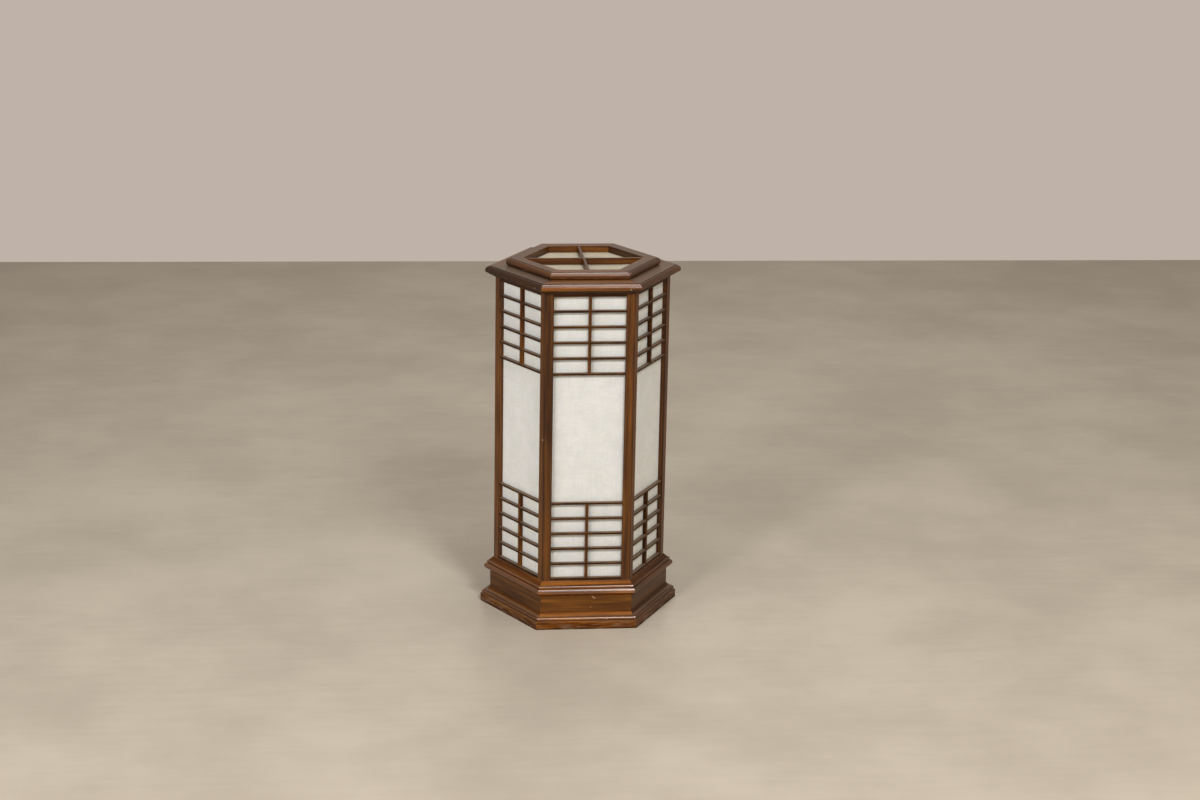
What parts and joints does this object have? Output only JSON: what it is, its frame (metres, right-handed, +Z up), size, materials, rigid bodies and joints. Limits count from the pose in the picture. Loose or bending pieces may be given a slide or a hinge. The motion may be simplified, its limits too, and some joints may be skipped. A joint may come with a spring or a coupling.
{
  "type": "paper lantern table lamp",
  "caption": "Hexagonal wooden lantern lamp: paper panes behind strip lattices, moulded base and cap, lift-off lid with paper, bulb on a screw lampholder inside.",
  "frame": {"origin": "middle of the foot, on the surface the lamp stands on", "axes": "+Z up along the lamp's axis, -Y out of the front side, corners of the hexagon on +X and -X"},
  "size_m": [0.308, 0.2668, 0.55],
  "materials": {
    "stained_wood": "dark reddish brown stain under satin lacquer, straight grain",
    "inner_wood": "bare softwood and plywood",
    "paper": "off-white fibrous mulberry paper",
    "steel": "plain steel",
    "brass": "pressed brass",
    "black_plastic": "moulded thermoset",
    "opal_glass": "opal",
    "rubber": "black rubber"
  },
  "bodies": {
    "lantern": {"base_board": "inner_wood", "base_moulding_front": "stained_wood", "base_moulding_front_left": "stained_wood", "base_moulding_front_right": "stained_wood", "base_moulding_rear": "stained_wood", "base_moulding_rear_left": "stained_wood", "base_moulding_rear_right": "stained_wood", "cap_brads": "steel", "cap_moulding_front": "stained_wood", "cap_moulding_front_left": "stained_wood", "cap_moulding_front_right": "stained_wood", "cap_moulding_rear": "stained_wood", "cap_moulding_rear_left": "stained_wood", "cap_moulding_rear_right": "stained_wood", "cord_grommet": "rubber", "frieze_board_front": "stained_wood", "frieze_board_front_left": "stained_wood", "frieze_board_front_right": "stained_wood", "frieze_board_rear": "stained_wood", "frieze_board_rear_left": "stained_wood", "frieze_board_rear_right": "stained_wood", "glue_blocks": "inner_wood", "lampholder_body": "black_plastic", "lampholder_contact": "brass", "lampholder_shell": "brass", "lattice_front": "stained_wood", "lattice_front_left": "stained_wood", "lattice_front_right": "stained_wood", "lattice_rear": "stained_wood", "lattice_rear_left": "stained_wood", "lattice_rear_right": "stained_wood", "paper_pane_front": "paper", "paper_pane_front_left": "paper", "paper_pane_front_right": "paper", "paper_pane_rear": "paper", "paper_pane_rear_left": "paper", "paper_pane_rear_right": "paper", "post_front_left": "stained_wood", "post_front_right": "stained_wood", "post_left": "stained_wood", "post_rear_left": "stained_wood", "post_rear_right": "stained_wood", "post_right": "stained_wood", "sill_moulding_front": "stained_wood", "sill_moulding_front_left": "stained_wood", "sill_moulding_front_right": "stained_wood", "sill_moulding_rear": "stained_wood", "sill_moulding_rear_left": "stained_wood", "sill_moulding_rear_right": "stained_wood", "wood_screws": "steel"},
    "lid": {"lid_bar_cross": "stained_wood", "lid_bar_long": "stained_wood", "lid_cleats": "inner_wood", "lid_frame": "stained_wood", "lid_paper": "paper"},
    "bulb": {"bulb_cap": "brass", "bulb_contact": "brass", "bulb_globe": "opal_glass", "bulb_insulator": "black_plastic"}
  },
  "joints": [
    {"name": "lid_lift", "type": "slide", "parent": "lantern", "child": "lid", "axis": [0, 0, 1], "range_m": [0, 0.08]},
    {"name": "bulb_unscrew", "type": "slide", "parent": "lantern", "child": "bulb", "axis": [0, 0, 1], "range_m": [0, 0.025]}
  ]
}
